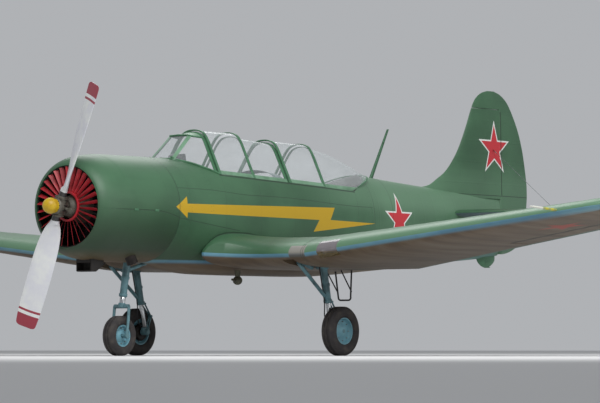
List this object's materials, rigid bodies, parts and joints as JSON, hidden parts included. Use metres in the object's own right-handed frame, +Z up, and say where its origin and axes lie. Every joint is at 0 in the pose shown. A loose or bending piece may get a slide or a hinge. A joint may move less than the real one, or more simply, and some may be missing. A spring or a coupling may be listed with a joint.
{
  "type": "two-seat low-wing training monoplane with a radial engine",
  "caption": "Low-wing tandem trainer on tricycle gear: radial engine with shutters, long sliding canopy, turning propeller and wheels, hinged control surfaces and flap.",
  "frame": {"origin": "on the floor below the middle of the aircraft's box, halfway from the spinner's tip to the rudder's trailing edge", "axes": "nose towards -X, left wing towards -Y, +Z up; the span is the longest way and the height the shortest"},
  "size_m": [8.304, 10.6, 3.011],
  "materials": {
    "skin_green": "green enamel on riveted sheet, satin with oil haze low down",
    "frame_green": "green enamel on pressed frames",
    "fabric_green": "green dope over fabric on ribs, light blue underneath",
    "centre_skin": "sheet skin, green above, oily light blue below",
    "flap_skin": "sheet skin, oily light blue",
    "shutter_red": "red enamel, satin",
    "engine_metal": "black painted castings",
    "dark_metal": "sooty sheet metal",
    "exhaust_steel": "heat-browned steel",
    "glazing": "clear acrylic",
    "lamp_glass": "clear lamp cover",
    "seat_brown": "worn padded canvas",
    "panel_black": "matt black enamel",
    "pitot_metal": "banded yellow and grey enamel",
    "gear_blue": "light blue enamel, oily",
    "bare_steel": "bare steel",
    "mast_green": "green enamel on wood",
    "step_black": "black enamel, worn",
    "housing_grey": "grey enamel, oily",
    "blade_silver": "pale grey enamel, red tips with bands",
    "cap_yellow": "yellow enamel",
    "tyre_rubber": "black rubber, dusty",
    "rim_blue": "light blue enamel"
  },
  "bodies": {
    "airframe": {"fuselage_front": "skin_green", "fuselage_rear": "fabric_green", "cowl_upper": "skin_green", "cowl_lower": "skin_green", "shutter_ring": "shutter_red", "engine_block": "engine_metal", "intake_scoop": "dark_metal", "exhaust_left": "exhaust_steel", "exhaust_right": "exhaust_steel", "windscreen_frame": "frame_green", "windscreen_glass": "glazing", "canopy_centre_frame": "frame_green", "canopy_centre_glass": "glazing", "canopy_tail_frame": "frame_green", "canopy_tail_glass": "glazing", "seat_front": "seat_brown", "seat_rear": "seat_brown", "panel_front": "panel_black", "panel_rear": "panel_black", "stick_front": "panel_black", "stick_rear": "panel_black", "wing_centre": "centre_skin", "wing_left": "fabric_green", "wing_right": "fabric_green", "landing_light": "lamp_glass", "pitot_tube": "pitot_metal", "fin": "fabric_green", "tailplane_left": "fabric_green", "tailplane_right": "fabric_green", "tail_strut_left": "gear_blue", "tail_strut_right": "gear_blue", "tail_wire_left": "bare_steel", "tail_wire_right": "bare_steel", "tail_bumper": "frame_green", "antenna_mast": "mast_green", "boarding_step": "step_black", "belly_housing": "housing_grey", "main_leg_left": "gear_blue", "main_leg_right": "gear_blue", "nose_leg": "gear_blue"},
    "propeller": {"propeller_hub": "bare_steel", "blade_a": "blade_silver", "blade_b": "blade_silver", "spinner_cap": "cap_yellow"},
    "main_wheel_left": {"main_tyre_left": "tyre_rubber", "main_rim_left": "rim_blue"},
    "main_wheel_right": {"main_tyre_right": "tyre_rubber", "main_rim_right": "rim_blue"},
    "nose_steering": {"nose_fork": "gear_blue"},
    "nose_wheel": {"nose_tyre": "tyre_rubber", "nose_rim": "rim_blue"},
    "aileron_left": {"aileron_left": "fabric_green"},
    "aileron_right": {"aileron_right": "fabric_green"},
    "elevator": {"elevator": "fabric_green"},
    "rudder": {"rudder": "fabric_green"},
    "flap": {"flap": "flap_skin"},
    "hood_front": {"hood_front_frame": "frame_green", "hood_front_glass": "glazing"},
    "hood_rear": {"hood_rear_frame": "frame_green", "hood_rear_glass": "glazing"}
  },
  "joints": [
    {"name": "propeller_spin", "type": "hinge", "parent": "airframe", "child": "propeller", "pos_m": [-3.936, 0, 1.47], "axis": [1, 0, 0], "continuous": true},
    {"name": "main_wheel_left_spin", "type": "hinge", "parent": "airframe", "child": "main_wheel_left", "pos_m": [-1.176, -1.36, 0.25], "axis": [0, 1, 0], "continuous": true},
    {"name": "main_wheel_right_spin", "type": "hinge", "parent": "airframe", "child": "main_wheel_right", "pos_m": [-1.176, 1.36, 0.25], "axis": [0, 1, 0], "continuous": true},
    {"name": "nose_steer", "type": "hinge", "parent": "airframe", "child": "nose_steering", "pos_m": [-3.001, 0, 0.485], "axis": [0.1814, 0, 0.9834], "range_deg": [-35, 35]},
    {"name": "nose_wheel_spin", "type": "hinge", "parent": "nose_steering", "child": "nose_wheel", "pos_m": [-3.036, 0, 0.2], "axis": [0, 1, 0], "continuous": true},
    {"name": "aileron_left_hinge", "type": "hinge", "parent": "airframe", "child": "aileron_left", "pos_m": [-0.70585, -3.15, 1.17798], "axis": [0.1549, 0.9807, -0.119], "range_deg": [-22, 22]},
    {"name": "aileron_right_hinge", "type": "hinge", "parent": "airframe", "child": "aileron_right", "pos_m": [-0.70585, 3.15, 1.17798], "axis": [-0.1549, 0.9807, 0.119], "range_deg": [-22, 22]},
    {"name": "elevator_hinge", "type": "hinge", "parent": "airframe", "child": "elevator", "pos_m": [3.154, 0, 1.59], "axis": [0, 1, 0], "range_deg": [-25, 25]},
    {"name": "rudder_hinge", "type": "hinge", "parent": "airframe", "child": "rudder", "pos_m": [3.594, 0, 1.87], "axis": [0, 0, 1], "range_deg": [-27, 27]},
    {"name": "flap_hinge", "type": "hinge", "parent": "airframe", "child": "flap", "pos_m": [-0.586, 0, 0.91028], "axis": [0, 1, 0], "range_deg": [0, 50]},
    {"name": "hood_front_slide", "type": "slide", "parent": "airframe", "child": "hood_front", "axis": [0.9992, 0, -0.04], "range_m": [0, 0.55]},
    {"name": "hood_rear_slide", "type": "slide", "parent": "airframe", "child": "hood_rear", "axis": [0.9992, 0, -0.04], "range_m": [0, 0.55]}
  ],
  "couplings": [
    {"joint": "aileron_right_hinge", "follows": "aileron_left_hinge", "ratio": -1}
  ]
}
